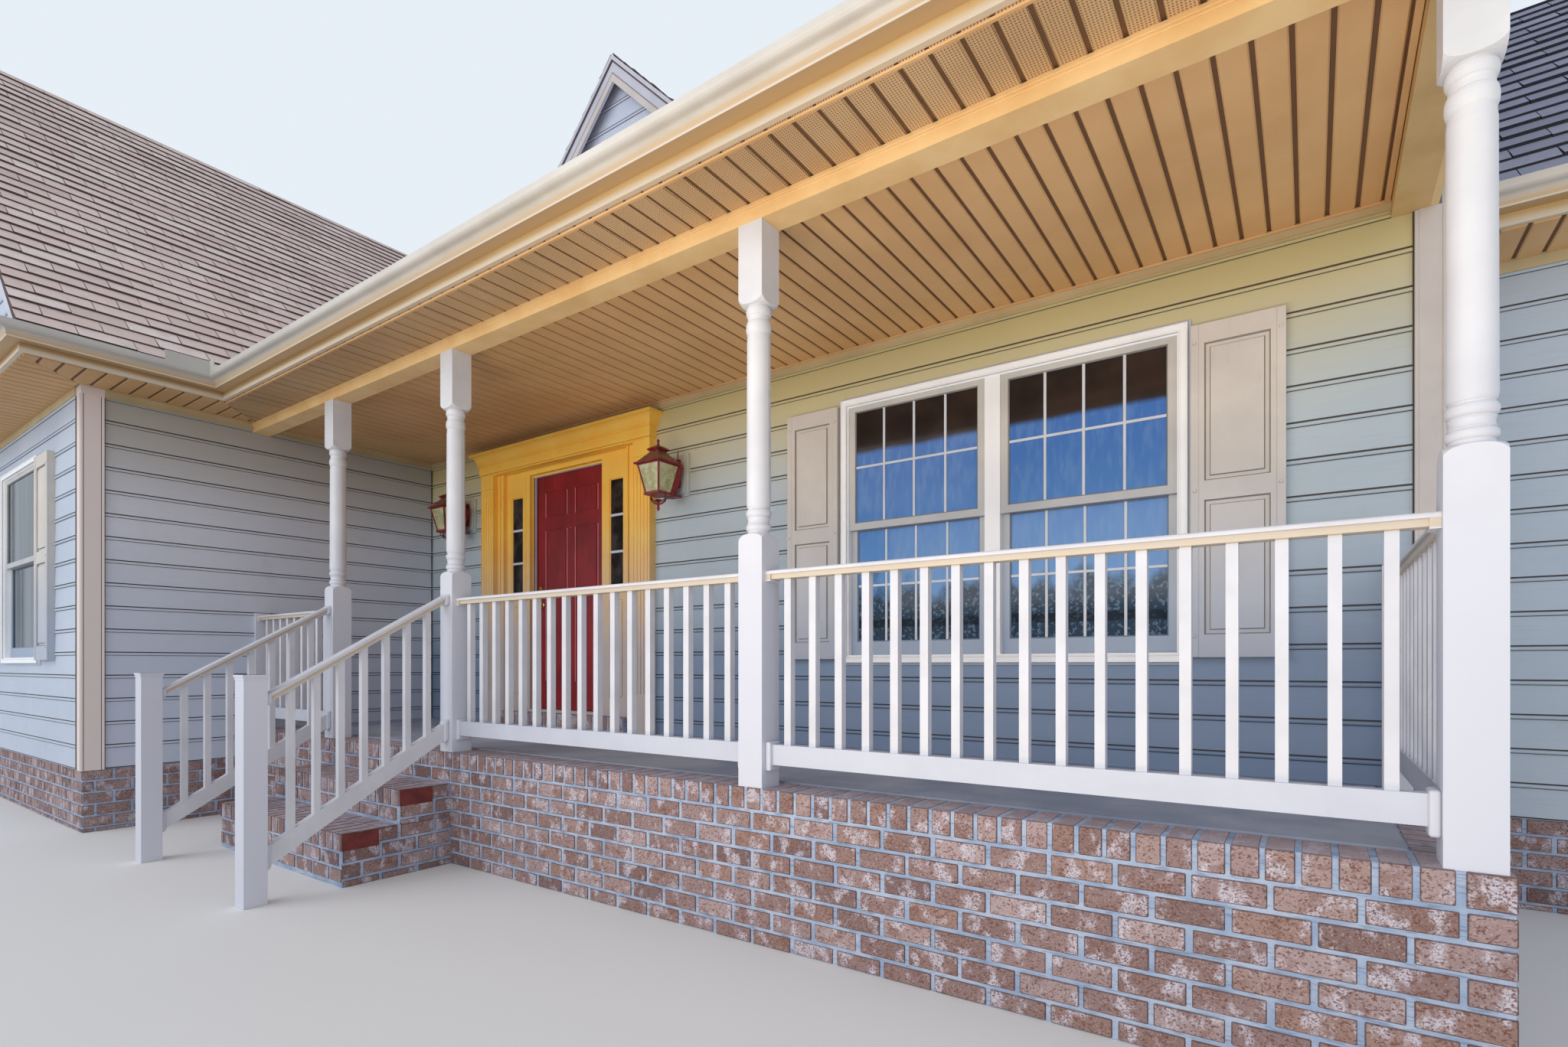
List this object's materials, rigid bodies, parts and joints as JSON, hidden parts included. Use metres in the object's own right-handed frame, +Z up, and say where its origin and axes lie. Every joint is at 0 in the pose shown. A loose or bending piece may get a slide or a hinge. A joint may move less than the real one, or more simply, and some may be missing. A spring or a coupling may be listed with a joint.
{
  "type": "front porch",
  "caption": "Raised front porch with turned posts, railings and brick steps, on a sided house with panelled door, sidelights, shuttered windows, lanterns, gutters and shingled roofs",
  "frame": {"origin": "on the ground under the line of the posts, halfway between the two posts at the steps", "axes": "+Z up, +X to the right along the front, +Y into the house"},
  "size_m": [12.184, 5.732, 6.805],
  "materials": {
    "brick": "matte wire-cut face brick with pale grey mortar",
    "concrete": "trowelled concrete",
    "siding": "beaded blue-grey lap siding",
    "white_paint": "warm white paint",
    "cream_trim": "cream trim",
    "tan_panels": "grooved tan panels",
    "almond_trim": "almond coil-coated sheet",
    "gutter_metal": "almond enamel",
    "beige_vinyl": "beige moulded trim",
    "party_wall": "plain grey render on the cut walls",
    "dark_shingles": "dark blue-grey granule shingles",
    "shingles": "weathered granule shingles",
    "window_glass": "dark reflecting panes",
    "door_red": "dark red paint, embossed panels",
    "polished_brass": "polished",
    "lantern_red": "oxblood enamel with seeded panes"
  },
  "bodies": {
    "house": {"front_base": "brick", "side_base": "brick", "floor_slab": "concrete", "lower_step": "brick", "upper_step": "brick", "foundation": "brick", "wall_left": "siding", "wall_over_door": "siding", "wall_right": "siding", "wing_wall": "siding", "wing_front_wall": "siding", "annex_wall": "siding", "party_walls": "party_wall", "posts": "white_paint", "level_railings": "white_paint", "stair_railings": "white_paint", "newels": "white_paint", "half_posts": "white_paint", "front_beam": "cream_trim", "side_beam": "cream_trim", "gable_board": "cream_trim", "ceiling": "tan_panels", "friezes": "cream_trim", "soffit": "tan_panels", "fascia": "almond_trim", "gutter": "gutter_metal", "porch_roof": "shingles", "wing_roof": "shingles", "pent_roof": "shingles", "annex_roof": "dark_shingles", "dormer_wall": "siding", "dormer_roof": "shingles", "rake_boards": "almond_trim", "corner_boards": "beige_vinyl", "door_sill": "brick", "door_frame": "cream_trim", "sidelights": "cream_trim", "door_surround": "cream_trim", "window_casings": "white_paint", "window_sashes": "white_paint", "glass": "window_glass", "shutters": "beige_vinyl", "lanterns": "lantern_red"},
    "door": {"door_leaf": "door_red", "door_hardware": "polished_brass"}
  },
  "joints": [
    {"name": "door_hinge", "type": "hinge", "parent": "house", "child": "door", "pos_m": [0.3775, 1.622, 1.831], "axis": [0, 0, -1], "range_deg": [0, 90]}
  ]
}
